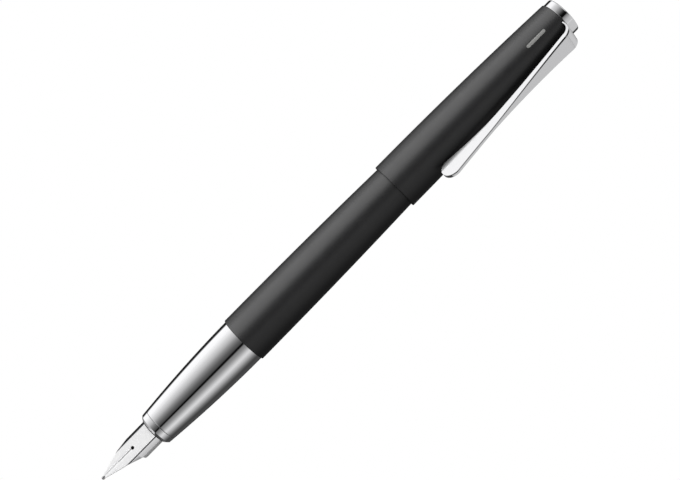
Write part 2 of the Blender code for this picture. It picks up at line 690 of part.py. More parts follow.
def make_cap_screw():
    """Cheese-head screw through the liner and the carrier into the head's spigot."""
    head_x = LINER_WALL_X - 0.06 * MM
    head_height = 1.0 * MM
    end = HEAD_X + 0.3 * MM
    outline = [(head_x - head_height, 0.0), (head_x - head_height, 1.7 * MM), (head_x, 1.7 * MM),
               (head_x, SCREW_RADIUS), (end, SCREW_RADIUS), (end, 0.0)]
    screw = turned_solid("cap_screw", outline, STEEL, 24)
    tool = cutter("cap_screw_slot", block_mesh(
        (head_x - head_height - MM, -3 * MM, -0.22 * MM), (head_x - 0.5 * MM, 3 * MM, 0.22 * MM)))
    combine(screw, tool)
    return screw, tool


# --- clip, modelled with its radial plane on +Z --------------------------------------------------

def clip_outer(x):
    run = max(BAND_X - x, 0.0) / (BAND_X - BLADE_X)
    return BAND_REACH + (BLADE_REACH - BAND_REACH) * run ** 1.5


def clip_inner(x):
    dip = max(128.0 * MM - x, 0.0) / (15.6 * MM)
    return cap_radius(x) + BAND_LIFT - BLADE_DIP * dip ** 2


def clip_half_width(x):
    """The blade's half thickness grows into the band's half width over the clip's upper part."""
    run = min(max((x - 123.0 * MM) / (BAND_X - 123.0 * MM), 0.0), 1.0)
    return BLADE_HALF_THICKNESS + (BAND_HALF_WIDTH - BLADE_HALF_THICKNESS) * run ** 1.35


def clip_section(centre, out, half_thickness, half_width):
    """Rectangle with cut corners round centre (x, radius), standing across the direction out."""
    corner = 0.32 * min(half_thickness, half_width)
    corners = []
    for across, up in ((1, 1), (-1, 1), (-1, -1), (1, -1)):
        first = (across * half_width, up * (half_thickness - corner))
        second = (across * (half_width - corner), up * half_thickness)
        corners += [first, second] if across * up > 0 else [second, first]
    return [(centre[0] + out[0] * t, w, centre[1] + out[1] * t) for w, t in corners]


def make_clip():
    sections = []
    middle = (clip_outer(BLADE_X) + clip_inner(BLADE_X)) / 2
    tall = (clip_outer(BLADE_X) - clip_inner(BLADE_X)) / 2
    for angle in (12, 30, 50, 70):
        a = math.radians(angle)
        x = BLADE_X - (BLADE_X - BLADE_END_X) * math.cos(a)
        sections.append(clip_section((x, middle - 0.12 * MM * math.cos(a)), (0, 1),
                                     tall * math.sin(a) ** 0.9, BLADE_HALF_THICKNESS))
    for x in spread(BLADE_X, BAND_X, 14):
        outer, inner = clip_outer(x), clip_inner(x)
        sections.append(clip_section((x, (outer + inner) / 2), (0, 1), (outer - inner) / 2,
                                     clip_half_width(x)))
    outer, inner = clip_outer(BAND_X), clip_inner(BAND_X)
    band_half = (outer - inner) / 2
    bend_radius = ARM_FACE_X - ARM_THICKNESS / 2 - BAND_X
    bend_centre = (BAND_X, (outer + inner) / 2 - bend_radius)
    for angle in (18, 36, 54, 72, 90):
        a = math.radians(angle)
        share = angle / 90
        out = (math.sin(a), math.cos(a))
        centre = (bend_centre[0] + bend_radius * out[0], bend_centre[1] + bend_radius * out[1])
        half = band_half + (ARM_THICKNESS / 2 - band_half) * share
        width = BAND_HALF_WIDTH + (ARM_HALF_WIDTH - BAND_HALF_WIDTH) * share
        sections.append(clip_section(centre, out, half, width))
    arm_x = ARM_FACE_X - ARM_THICKNESS / 2
    for radius, width in ((ARM_FOOT, ARM_HALF_WIDTH), (ARM_FOOT - 0.4 * MM, EYE_HALF_WIDTH),
                          (HINGE_RADIUS, EYE_HALF_WIDTH)):
        sections.append(clip_section((arm_x, radius), (1, 0), ARM_THICKNESS / 2, width))
    clip = lofted("clip", sections, CHROME)
    eye = rod_mesh((HINGE_X, -EYE_HALF_WIDTH, HINGE_RADIUS), (HINGE_X, EYE_HALF_WIDTH, HINGE_RADIUS),
                   EYE_RADIUS, 20)
    eye_tool = cutter("clip_eye", eye)
    combine(clip, eye_tool, "UNION")
    hole = rod_mesh((HINGE_X, -2 * MM, HINGE_RADIUS), (HINGE_X, 2 * MM, HINGE_RADIUS),
                    PIN_RADIUS + RUNNING_GAP, 16)
    hole_tool = cutter("clip_eye_hole", hole)
    combine(clip, hole_tool)
    return clip, eye_tool, hole_tool


# --- assembly ------------------------------------------------------------------------------------

def main():
    clear_scene()
    pen = axis_empty("pen", None, (-PEN_LENGTH / 2, AXIS_Y, AXIS_Z))

    barrel = axis_empty("barrel", pen)
    parent_to(barrel, make_barrel_shell(), make_barrel_thread_bush(), make_barrel_tail_disc())

    washer = axis_empty("washer", barrel)
    parent_to(washer, make_joint_washer())

    section = axis_empty("section", washer)
    parent_to(section, make_grip_shell(), make_grip_front_ring(), make_section_core())
    nib_axis = axis_empty("nib_axis", section, roll=NIB_ROLL)
    parent_to(nib_axis, *make_nib(), *make_nib_tipping(), *make_feed())

    converter = axis_empty("converter", section)
    parent_to(converter, make_converter_tube(), make_converter_mouth(), make_converter_collar(),
              make_spindle_nut(), make_piston_seal(), make_piston_rod(), make_converter_knob())

    cap = axis_empty("cap", barrel, roll=CLIP_ROLL)
    shell = make_cap_shell()
    notch = cap_slot_cutter()
    combine(shell, notch)
    parent_to(cap, shell, notch, make_inner_cap(), *make_cap_head(), *make_clip_carrier(),
              make_clip_pin(), make_clip_spring(), *make_cap_screw(), *make_clip())


main()
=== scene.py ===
"""Looks of the fountain pen: fine surfaces, finishes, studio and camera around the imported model."""
import json
import math

import bmesh
import bpy
from mathutils import Matrix, Vector


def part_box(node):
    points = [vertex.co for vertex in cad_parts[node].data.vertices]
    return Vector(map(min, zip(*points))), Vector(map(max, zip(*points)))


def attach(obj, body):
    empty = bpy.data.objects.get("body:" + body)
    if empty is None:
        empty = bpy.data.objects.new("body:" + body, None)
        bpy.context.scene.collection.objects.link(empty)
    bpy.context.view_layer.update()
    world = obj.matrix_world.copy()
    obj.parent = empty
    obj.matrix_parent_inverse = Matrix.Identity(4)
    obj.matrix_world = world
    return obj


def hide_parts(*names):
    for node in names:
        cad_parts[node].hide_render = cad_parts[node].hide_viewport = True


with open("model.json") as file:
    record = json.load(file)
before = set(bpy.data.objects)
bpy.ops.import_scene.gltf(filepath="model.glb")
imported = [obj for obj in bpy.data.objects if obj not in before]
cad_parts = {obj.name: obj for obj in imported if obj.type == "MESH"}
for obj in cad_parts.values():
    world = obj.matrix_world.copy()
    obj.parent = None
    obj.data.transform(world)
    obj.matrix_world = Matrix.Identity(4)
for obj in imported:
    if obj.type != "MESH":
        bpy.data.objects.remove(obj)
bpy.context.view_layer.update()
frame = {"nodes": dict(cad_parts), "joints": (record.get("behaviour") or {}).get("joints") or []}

MM = 0.001
ROUND = 192                     # segments round the outer turned pieces
INNER_ROUND = 96                # segments round the pieces inside

NIB_TURN = math.radians(64.2)   # from the clip's direction round the pen to the nib's top

# The pen's axis and the roll of the clip and the nib about it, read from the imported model.
barrel_low, barrel_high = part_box("barrel_shell")
AXIS = (barrel_low + barrel_high) / 2
POINT_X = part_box("nib_tipping")[0].x
PEN_TO_ROW = Matrix.Translation((POINT_X, AXIS.y, AXIS.z))
CLIP_JOINT = next(j for j in frame["joints"] if j["name"] == "clip_lift")
CLIP_ROLL = math.radians(180.0) - math.atan2(CLIP_JOINT["axis"][2], -CLIP_JOINT["axis"][1])
NIB_ROLL = CLIP_ROLL - NIB_TURN


def span(node):
    """Where a CAD node starts and ends along the pen, measured from the nib's point."""
    low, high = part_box(node)
    return low.x - POINT_X, high.x - POINT_X


# --- shapes --------------------------------------------------------------------------------------
# Outlines are (x, r) in metres: x along the pen from the nib's point, r from its axis.

JOINT_X, BARREL_END_X = span("barrel_shell")
CAP_LIP_X, CAP_END_X = span("cap_shell")
GRIP_RADIUS = 6.06 * MM         # at the joint
GRIP_TAPER = 1.36 * MM          # that it loses over GRIP_LENGTH towards the nib
GRIP_LENGTH = 28.6 * MM
BARREL_RADIUS = 6.41 * MM       # at the joint
CAP_RADIUS = 6.39 * MM          # at the lip


def grip_radius(x):
    run = max((JOINT_X - x) / GRIP_LENGTH, 0.0)
    return GRIP_RADIUS - GRIP_TAPER * run ** 1.87


def barrel_radius(x):
    run = max(x - JOINT_X, 0.0) / MM
    return BARREL_RADIUS - 1.448e-4 * MM * run ** 2.14


def cap_radius(x):
    run = max(x - CAP_LIP_X, 0.0) / MM
    return CAP_RADIUS - 4.476e-4 * MM * run ** 1.984


def spread(start, end, count):
    """Count values evenly spaced from start to end, both included."""
    return [start + (end - start) * i / (count - 1) for i in range(count)]


def fillet(points, closed=True, steps=5):
    """Rounds each corner that carries a radius: a point is (x, r) or (x, r, fillet radius)."""
    result = []
    count = len(points)
    for i, point in enumerate(points):
        here = Vector(point[:2])
        if len(point) < 3 or not closed and i in (0, count - 1):
            result.append(tuple(here))
            continue
        back = (Vector(points[i - 1][:2]) - here).normalized()
        ahead = (Vector(points[(i + 1) % count][:2]) - here).normalized()
        half = back.angle(ahead) / 2
        reach = point[2] / math.tan(half)
        centre = here + (back + ahead).normalized() * (point[2] / math.sin(half))
        start, end = here + back * reach - centre, here + ahead * reach - centre
        turn = start.angle_signed(end)
        for step in range(steps + 1):
            result.append(tuple(centre + Matrix.Rotation(-turn * step / steps, 2) @ start))
    return result


def to_object(name, bm, matrix=PEN_TO_ROW, sharp=32.0):
    """Links a bmesh as a smooth-shaded object, placed in the row frame."""
    bmesh.ops.remove_doubles(bm, verts=bm.verts, dist=1e-8)
    bmesh.ops.recalc_face_normals(bm, faces=bm.faces)
    bm.transform(matrix)
    mesh = bpy.data.meshes.new(name)
    bm.to_mesh(mesh)
    bm.free()
    mesh.shade_smooth()
    mesh.set_sharp_from_angle(angle=math.radians(sharp))
    obj = bpy.data.objects.new(name, mesh)
    bpy.context.scene.collection.objects.link(obj)
    return obj


def turned_mesh(outline, segments, closed=True, shape=None):
    """Spins an (x, r) outline round the X axis; shape(x, r, angle) may vary the radius."""
    bm = bmesh.new()
    rings = []
    for x, r in outline:
        if r < 1e-9:
            rings.append([bm.verts.new((x, 0.0, 0.0))])
            continue
        ring = []
        for i in range(segments):
            angle = math.tau * i / segments
            radius = shape(x, r, angle) if shape else r
            ring.append(bm.verts.new((x, radius * math.sin(angle), radius * math.cos(angle))))
        rings.append(ring)
    pairs = list(zip(rings, rings[1:]))
    if closed:
        pairs.append((rings[-1], rings[0]))
    for a, b in pairs:
        for i in range(segments):
            j = (i + 1) % segments
            if len(a) == 1:
                bm.faces.new((a[0], b[j], b[i]))
            elif len(b) == 1:
                bm.faces.new((a[i], a[j], b[0]))
            else:
                bm.faces.new((a[i], a[j], b[j], b[i]))
    return bm


def lofted_mesh(sections):
    bm = bmesh.new()
    rings = [[bm.verts.new(p) for p in section] for section in sections]
    count = len(rings[0])
    for ring, following in zip(rings, rings[1:]):
        for i in range(count):
            j = (i + 1) % count
            bm.faces.new((ring[i], ring[j], following[j], following[i]))
    bm.faces.new(rings[0])
    bm.faces.new(rings[-1])
    return bm


def block_object(name, low, high, matrix):
    bm = bmesh.new()
    size = [b - a for a, b in zip(low, high)]
    centre = [(a + b) / 2 for a, b in zip(low, high)]
    bmesh.ops.create_cube(bm, size=1.0,
                          matrix=Matrix.Translation(centre) @ Matrix.Diagonal((*size, 1.0)))
    return to_object(name, bm, matrix)


def rod_object(name, start, end, radius, matrix):
    bm = bmesh.new()
    start, end = Vector(start), Vector(end)
    turn = (end - start).to_track_quat("Z", "Y").to_matrix().to_4x4()
    bmesh.ops.create_cone(bm, cap_ends=True, segments=48, radius1=radius, radius2=radius,
                          depth=(end - start).length,
                          matrix=Matrix.Translation((start + end) / 2) @ turn)
    return to_object(name, bm, matrix)


def cut(obj, *tools, operation="DIFFERENCE"):
    """Cuts obj with each tool, or joins them to it, applies that and removes the tools."""
    for tool in tools:
        modifier = obj.modifiers.new("cut", "BOOLEAN")
        modifier.operation = operation
        modifier.solver = "EXACT"
        modifier.object = tool
    apply_modifiers(obj)
    for tool in tools:
        bpy.data.objects.remove(tool, do_unlink=True)
    obj.data.shade_smooth()
    obj.data.set_sharp_from_angle(angle=math.radians(28))


def apply_modifiers(obj):
    bpy.context.view_layer.update()
    evaluated = obj.evaluated_get(bpy.context.evaluated_depsgraph_get())
    mesh = bpy.data.meshes.new_from_object(evaluated)
    old = obj.data
    obj.modifiers.clear()
    obj.data = mesh
    bpy.data.meshes.remove(old)


def settle(obj, material, body, slot, *nodes):
    """Gives a piece its finish and body, and hides the CAD nodes that it stands for; slot is not
    used.
    """
    obj.data.materials.clear()
    obj.data.materials.append(material)
    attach(obj, body)
    if nodes:
        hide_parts(*nodes)
    return obj


# --- finishes ------------------------------------------------------------------------------------

class Finish:
    """A Principled material with procedural detail added by small steps."""

    def __init__(self, name, colour, roughness, metallic=0.0, **sockets):
        self.material = bpy.data.materials.new(name)
        self.material.use_nodes = True
        self.tree = self.material.node_tree
        self.shader = self.tree.nodes["Principled BSDF"]
        self.shader.inputs["Base Color"].default_value = (*colour, 1.0)
        self.shader.inputs["Roughness"].default_value = roughness
        self.shader.inputs["Metallic"].default_value = metallic
        for socket, value in sockets.items():
            self.shader.inputs[socket.replace("_", " ")].default_value = value
        self.colour, self.roughness = colour, roughness
        self.place = self.node("ShaderNodeTexCoord").outputs["Object"]

    def node(self, kind, **settings):
        node = self.tree.nodes.new(kind)
        for key, value in settings.items():
            setattr(node, key, value)
        return node

    def link(self, output, socket):
        self.tree.links.new(output, socket)

    def noise(self, size, detail, stretch):
        """Noise whose features are about size metres across, stretched along X, Y or Z."""
        mapping = self.node("ShaderNodeMapping")
        mapping.inputs["Scale"].default_value = [1.0 / (size * s) for s in stretch]
        self.link(self.place, mapping.inputs["Vector"])
        texture = self.node("ShaderNodeTexNoise")
        texture.inputs["Scale"].default_value = 1.0
        texture.inputs["Detail"].default_value = detail
        self.link(mapping.outputs["Vector"], texture.inputs["Vector"])
        return texture.outputs["Fac"]

    def ranged(self, source, low, high, start=0.3, end=0.7):
        node = self.node("ShaderNodeMapRange")
        for key, value in (("From Min", start), ("From Max", end),
                           ("To Min", low), ("To Max", high)):
            node.inputs[key].default_value = value
        self.link(source, node.inputs["Value"])
        return node.outputs["Result"]

    def uneven(self, size, amount, stretch=(1.0, 1.0, 1.0)):
        """Roughness that wanders by amount over patches of the given size."""
        wander = self.ranged(self.noise(size, 4.0, stretch), self.roughness - amount,
                             self.roughness + amount)
        self.link(wander, self.shader.inputs["Roughness"])
        return self

    def tinted(self, other, size, stretch=(1.0, 1.0, 1.0)):
        """Colour that drifts between the base colour and another."""
        ramp = self.node("ShaderNodeValToRGB")
        ramp.color_ramp.elements[0].position, ramp.color_ramp.elements[1].position = 0.3, 0.7
        ramp.color_ramp.elements[0].color = (*self.colour, 1.0)
        ramp.color_ramp.elements[1].color = (*other, 1.0)
        self.link(self.noise(size, 3.0, stretch), ramp.inputs["Fac"])
        self.link(ramp.outputs["Color"], self.shader.inputs["Base Color"])
        return self

    def grained(self, size, depth, strength=1.0, stretch=(1.0, 1.0, 1.0)):
        """Fine relief of the given size and depth, in metres."""
        bump = self.node("ShaderNodeBump")
        bump.inputs["Strength"].default_value = strength
        bump.inputs["Distance"].default_value = depth
        self.link(self.noise(size, 2.0, stretch), bump.inputs["Height"])
        self.link(bump.outputs["Normal"], self.shader.inputs["Normal"])
        return self


def make_finishes():
    along = (40.0, 1.0, 1.0)
    return {
        "chrome": Finish("bright_chrome", (0.74, 0.74, 0.75), 0.07, 1.0)
        .uneven(4 * MM, 0.02).grained(1.5 * MM, 0.0004 * MM).material,
        "clip_chrome": Finish("clip_chrome", (0.72, 0.72, 0.73), 0.10, 1.0)
        .uneven(2 * MM, 0.03).grained(0.5 * MM, 0.0004 * MM).material,
        "nib": Finish("nib_steel", (0.90, 0.90, 0.90), 0.34, 0.45)
        .tinted((0.86, 0.86, 0.87), 1.2 * MM).uneven(0.4 * MM, 0.04, along)
        .grained(0.05 * MM, 0.0004 * MM, 1.0, along).material,
        "nib_bright": Finish("nib_bright", (0.88, 0.88, 0.89), 0.12, 1.0)
        .uneven(0.5 * MM, 0.03, along).grained(0.2 * MM, 0.0002 * MM, 1.0, along).material,
        # painted shade: a near-black copy of the nib steel for the crease lines and the lower cut
        # edge
        "nib_painted_shade": Finish("nib_painted_crease_shade", (0.09, 0.09, 0.095), 0.22, 1.0)
        .uneven(0.5 * MM, 0.03, along).grained(0.2 * MM, 0.0002 * MM, 1.0, along).material,
        "tipping": Finish("tipping_metal", (0.62, 0.62, 0.63), 0.18, 1.0)
        .uneven(0.2 * MM, 0.05).grained(0.08 * MM, 0.001 * MM).material,
        "black": Finish("matt_black", (0.008, 0.008, 0.0083), 0.40, 0.0, Specular_IOR_Level=0.30)
        .tinted((0.0095, 0.0095, 0.0099), 5 * MM).uneven(3 * MM, 0.02)
        .grained(0.09 * MM, 0.004 * MM, 0.5).material,
        "black_plastic": Finish("black_plastic", (0.008, 0.008, 0.009), 0.42,
                                Specular_IOR_Level=0.3)
        .uneven(1.5 * MM, 0.06).grained(0.12 * MM, 0.002 * MM).material,
        "grey_plastic": Finish("grey_plastic", (0.16, 0.16, 0.17), 0.42)
        .tinted((0.18, 0.18, 0.19), 4 * MM).grained(0.15 * MM, 0.003 * MM).material,
        "red_plastic": Finish("red_plastic", (0.42, 0.02, 0.02), 0.3)
        .tinted((0.38, 0.018, 0.02), 5 * MM).grained(0.2 * MM, 0.002 * MM).material,
        "clear": Finish("clear_plastic", (0.95, 0.96, 0.97), 0.04, 0.0, Transmission_Weight=1.0,
                        IOR=1.49).uneven(6 * MM, 0.02).material,
        "rubber": Finish("seal_rubber", (0.022, 0.022, 0.022), 0.62)
        .uneven(1 * MM, 0.08).grained(0.1 * MM, 0.004 * MM).material,
        "brass": Finish("turned_brass", (0.72, 0.54, 0.26), 0.24, 1.0)
        .tinted((0.64, 0.46, 0.20), 2 * MM)
        .grained(0.06 * MM, 0.001 * MM, 1.0, (0.5, 8, 8)).material,
        "mark": Finish("mark_silver", (0.66, 0.66, 0.64), 0.5, 0.3)
        .tinted((0.58, 0.58, 0.57), 0.5 * MM).grained(0.08 * MM, 0.001 * MM).material,
        "steel": Finish("plain_steel", (0.56, 0.56, 0.58), 0.3, 1.0)
        .tinted((0.50, 0.50, 0.52), 1 * MM).grained(0.06 * MM, 0.001 * MM).material,
    }


FINISH = make_finishes()
CLIP_TO_ROW = PEN_TO_ROW @ Matrix.Rotation(CLIP_ROLL, 4, "X")
NIB_TO_ROW = PEN_TO_ROW @ Matrix.Rotation(NIB_ROLL, 4, "X")


def turned(name, outline, finish, body, slot, nodes, segments=ROUND, closed=True, shape=None,
           matrix=PEN_TO_ROW, cutters=()):
    """Makes a turned piece with its finish and body, and hides the nodes that it stands for."""
    obj = to_object(name, turned_mesh(fillet(outline, closed), segments, closed, shape), matrix)
    if cutters:
        cut(obj, *cutters)
    return settle(obj, FINISH[finish], body, slot, *nodes)


# --- barrel and grip -----------------------------------------------------------------------------

EDGE = 0.09 * MM                # usual fillet of a turned edge


def make_barrel():
    wall = 0.8 * MM
    xs = spread(JOINT_X, BARREL_END_X, 60)
    outer = [(x, barrel_radius(x)) for x in xs[1:-1]]
    inner = [(x, barrel_radius(x) - wall) for x in reversed(xs)]
    outline = [(JOINT_X, barrel_radius(JOINT_X), EDGE), *outer,
               (xs[-1], barrel_radius(xs[-1]), EDGE), *inner]
    turned("barrel_tube", outline, "black", "barrel", "matt_black", ["barrel_shell"])

    start, end = span("barrel_thread_bush")
    outer_r, bore = 5.54 * MM, 4.87 * MM
    turned("barrel_bush", [(start, outer_r, EDGE), (end, outer_r - 0.04 * MM, EDGE),
                           (end, bore, EDGE), (start, bore, 0.25 * MM)],
           "brass", "barrel", "brass", ["barrel_thread_bush"], INNER_ROUND)

    start, end = span("barrel_tail_disc")
    seat = BARREL_END_X + 0.05 * MM
    spigot = barrel_radius(BARREL_END_X) - 0.85 * MM
    rim = barrel_radius(BARREL_END_X)
    turned("barrel_tail", [(start, 0.0), (start, spigot, 0.2 * MM), (seat, spigot),
                           (seat, rim, EDGE), (end, barrel_radius(end), 0.3 * MM), (end, 0.0)],
           "chrome", "barrel", "bright_chrome", ["barrel_tail_disc"], closed=False)

    start, end = span("joint_washer")
    hole, rim = 4.81 * MM, 5.49 * MM
    turned("washer", [(start, hole, EDGE), (start, rim, EDGE), (end, rim, EDGE), (end, hole, EDGE)],
           "rubber", "washer", "seal_rubber", ["joint_washer"], INNER_ROUND)


NOSE_RADIUS = 3.72 * MM         # tube of the core that stands inside the front ring
NOSE_BORE = 3.47 * MM
THREAD_PITCH = 0.8 * MM
THREAD_DEPTH = 0.32 * MM
THREAD_RUN = 4.6 * MM


def make_grip():
    start, end = span("grip_shell")
    wall = 0.55 * MM
    xs = spread(start, end, 48)
    outer = [(x, grip_radius(x)) for x in xs[1:-1]]
    inner = [(x, grip_radius(x) - wall) for x in reversed(xs)]
    outline = [(start, grip_radius(start), 0.07 * MM), *outer, (end, grip_radius(end), 0.06 * MM),
               *inner]
    turned("grip_tube", outline, "chrome", "section", "bright_chrome", ["grip_shell"])

    front, rear = span("grip_front_ring")
    bore = NOSE_RADIUS + 0.05 * MM
    bevel = 0.55 * MM
    outline = [(front, bore, 0.06 * MM), (front, grip_radius(front) - 0.5 * MM, 0.12 * MM),
               (front + bevel, grip_radius(front + bevel), 0.1 * MM),
               *((x, grip_radius(x)) for x in spread(front + bevel + 0.2 * MM, rear - EDGE, 6)),
               (rear, grip_radius(rear), 0.07 * MM), (rear, bore, EDGE)]
    turned("grip_ring", outline, "chrome", "section", "bright_chrome", ["grip_front_ring"])


def make_section_core():
    """Moulded core of the grip; its tail carries the right-hand thread."""
    front, rear = span("section_core")
    body_x = span("grip_front_ring")[1] + 0.1 * MM
    fit, crest, stem, relief = 0.6 * MM, 4.75 * MM, 2.35 * MM, 4.42 * MM
    shoulder = JOINT_X - 0.4 * MM
    nose_end, wall, wall_end = 25.0 * MM, 34.1 * MM, 35.1 * MM
    socket, nipple, nipple_bore, nipple_end = 3.82 * MM, 1.2 * MM, 0.5 * MM, 40.5 * MM
    thread_end = rear - 0.35 * MM
    thread_start = thread_end - THREAD_RUN

    def thread(x, r, angle):
        if r < crest - 0.02 * MM or not thread_start < x < thread_end:
            return r
        share = (x / THREAD_PITCH + angle / math.tau) % 1.0
        groove = 0.5 - 0.5 * math.cos(math.tau * share)
        return r - THREAD_DEPTH * groove ** 1.5

    steps = int(THREAD_RUN / THREAD_PITCH * 14)
    outline = [(x, grip_radius(x) - fit) for x in spread(body_x, shoulder, 24)]
    outline += [(shoulder, crest), (shoulder + 1.2 * MM, crest), (shoulder + 1.5 * MM, relief),
                (thread_start - 0.3 * MM, relief), (thread_start, crest),
                *((x, crest) for x in spread(thread_start, thread_end, steps)[1:]),
                (rear, crest - 0.3 * MM), (rear, socket, EDGE), (wall_end, socket, EDGE),
                (wall_end, nipple), (nipple_end, nipple, 0.25 * MM), (nipple_end, nipple_bore),
                (wall, nipple_bore), (wall, stem), (nose_end, stem), (nose_end, NOSE_BORE),
                (front, NOSE_BORE, 0.05 * MM), (front, NOSE_RADIUS, 0.07 * MM),
                (body_x, NOSE_RADIUS)]
    turned("section_body", outline, "black_plastic", "section", "black_plastic", ["section_core"],
           INNER_ROUND, shape=thread)


# --- nib and feed --------------------------------------------------------------------------------

NIB_TOP = 2.6 * MM              # height of the flat top over the pen's axis
SHEET = 0.26 * MM
HALF_FLAT = 2.16 * MM           # from the slit to the first crease
FLANK_SLOPE = math.radians(54.0)
FLANK_SLANT = 1.6 * MM          # from the first crease to the second
WING_DEPTH = 1.8 * MM
WING_LEAN = math.atan(0.14 / 1.8)
NIB_FRONT_X = 0.98 * MM
SHOULDER_X = 6.9 * MM
WING_X = 10.5 * MM
BREATHER_X = 10.45 * MM
BREATHER_RADIUS = 0.44 * MM
SLIT = 0.15 * MM
CREASE_RADIUS = 0.35 * MM


def fold(t):
    """Place (across, up) on the folded sheet's top side at distance t from the slit."""
    side, t = math.copysign(1.0, t), abs(t)
    across, up, slope, done = 0.0, NIB_TOP, 0.0, 0.0
    creases = ((HALF_FLAT, FLANK_SLOPE), (HALF_FLAT + FLANK_SLANT, math.pi / 2 - WING_LEAN))
    for place, next_slope in creases:
        turn = next_slope - slope
        arc = CREASE_RADIUS * turn
        straight = min(t, place - arc / 2) - done
        across += straight * math.cos(slope)
        up -= straight * math.sin(slope)
        done += straight
        bend = min(max(t - done, 0.0), arc)
        if bend <= 0.0:
            return side * across, up
        angle = bend / CREASE_RADIUS
        across += CREASE_RADIUS * (math.sin(slope + angle) - math.sin(slope))
        up -= CREASE_RADIUS * (math.cos(slope) - math.cos(slope + angle))
        done += bend
        slope += angle
        if t <= done + 1e-12:
            return side * across, up
    rest = t - done
    return side * (across + rest * math.cos(slope)), up - rest * math.sin(slope)


def nib_blank():
    """Flat outline of the nib as (x, t): tapered tines, flanks, wings, slit and breather."""
    rear = span("nib")[1]
    knee = HALF_FLAT + FLANK_SLANT
    foot = knee + WING_DEPTH
    rise = [(WING_X + 0.05 * MM, knee + 0.1 * MM), (WING_X + 0.08 * MM, foot - 0.5 * MM),
            (WING_X + 0.25 * MM, foot - 0.15 * MM), (WING_X + 0.6 * MM, foot)]
    right = [(NIB_FRONT_X, 0.46 * MM)]
    for x in spread(NIB_FRONT_X + 0.6 * MM, SHOULDER_X, 12):
        run = (x - NIB_FRONT_X) / (SHOULDER_X - NIB_FRONT_X)
        right.append((x, 0.48 * MM + (HALF_FLAT - 0.48 * MM) * run))
    right += [(x, HALF_FLAT + FLANK_SLANT * (x - SHOULDER_X) / (WING_X - SHOULDER_X))
              for x in spread(SHOULDER_X + 0.5 * MM, WING_X, 8)]
    right += rise + [(rear, foot)]
    opening = math.asin(SLIT / 2 / BREATHER_RADIUS)
    hole = [(BREATHER_X - BREATHER_RADIUS * math.cos(a), BREATHER_RADIUS * math.sin(a))
            for a in spread(opening, math.tau - opening, 48)]
    left = [(x, -t) for x, t in reversed(right)]
    slit_top = (NIB_FRONT_X, SLIT / 2)
    slit_foot = (NIB_FRONT_X, -SLIT / 2)
    return [slit_top, *right, *left, slit_foot, *reversed(hole)]


def burnish_creases_and_paint_shade(nib):
    """Brightens the folds; paints a dark line of shade along each crease, and paints the lower cut
    edge dark as shade too.
    """
    nib.data.materials.append(FINISH["nib_bright"])
    nib.data.materials.append(FINISH["nib_painted_shade"])
    to_nib = NIB_TO_ROW.inverted()
    for face in nib.data.polygons:
        if abs((to_nib @ face.center).y) < 0.3 * MM:
            continue
        normal = to_nib.to_3x3() @ face.normal
        lean = math.degrees(math.atan2(abs(normal.y), normal.z))
        folded = 3.0 < lean < 60.0 and abs(normal.x) < 0.1
        cut_edge = abs(normal.x) > 0.08 and lean > 15.0 and face.normal.z < 0.3
        painted_shade_line = 8.0 < lean < 50.0
        if folded or cut_edge:
            # material 2 is painted shade: near-black steel on the crease lines and the lower cut edge
            face.material_index = 2 if cut_edge or painted_shade_line else 1


def make_nib():
    bm = bmesh.new()
    verts = [bm.verts.new((x, t, 0.0)) for x, t in nib_blank()]
    bm.faces.new(verts)
    knee = HALF_FLAT + FLANK_SLANT
    turn_lines = []
    for place, turn in ((HALF_FLAT, FLANK_SLOPE), (knee, math.pi / 2 - WING_LEAN - FLANK_SLOPE)):
        arc = CREASE_RADIUS * turn
        turn_lines += spread(place - arc / 2, place + arc / 2, 6)
    for t in turn_lines + [0.7 * MM, 1.4 * MM]:
        for side in (t, -t):
            geometry = bm.verts[:] + bm.edges[:] + bm.faces[:]
            bmesh.ops.bisect_plane(bm, geom=geometry, plane_co=(0, side, 0), plane_no=(0, 1, 0))
    for x in spread(1.5 * MM, 23 * MM, 40):     # finer faces, for even shading
        geometry = bm.verts[:] + bm.edges[:] + bm.faces[:]
        bmesh.ops.bisect_plane(bm, geom=geometry, plane_co=(x, 0, 0), plane_no=(1, 0, 0))
    for vert in bm.verts:
        across, up = fold(vert.co.y)
        vert.co.y, vert.co.z = across, up
    nib = to_object("nib_sheet", bm, Matrix.Identity(4), 40)
    solid = nib.modifiers.new("thickness", "SOLIDIFY")
    solid.thickness, solid.offset, solid.use_even_offset = SHEET, -1.0, True
    bevel = nib.modifiers.new("edges", "BEVEL")
    bevel.width, bevel.segments, bevel.limit_method = 0.06 * MM, 2, "ANGLE"
    bevel.angle_limit = math.radians(50)
    apply_modifiers(nib)
    nib.data.transform(NIB_TO_ROW)
    nib.data.shade_smooth()
    nib.data.set_sharp_from_angle(angle=math.radians(40))
    settle(nib, FINISH["nib"], "nib", "nib_steel", "nib")
    burnish_creases_and_paint_shade(nib)


def make_tipping():
    bm = bmesh.new()
    centre = Vector((0.47 * MM, 0.0, NIB_TOP - 0.28 * MM))
    size = Matrix.Diagonal((0.47 * MM, 0.43 * MM, 0.42 * MM, 1.0))
    bmesh.ops.create_uvsphere(bm, u_segments=48, v_segments=32, radius=1.0,
                              matrix=Matrix.Translation(centre) @ size
                              @ Matrix.Rotation(math.radians(90), 4, "Y"))
    pellet = to_object("nib_pellet", bm, NIB_TO_ROW)
    slit = block_object("pellet_slit", (-MM, -SLIT / 2, centre.z - 0.1 * MM),
                        (2 * MM, SLIT / 2, 4 * MM), NIB_TO_ROW)
    cut(pellet, slit)
    settle(pellet, FINISH["tipping"], "nib", "tipping_metal", "nib_tipping")


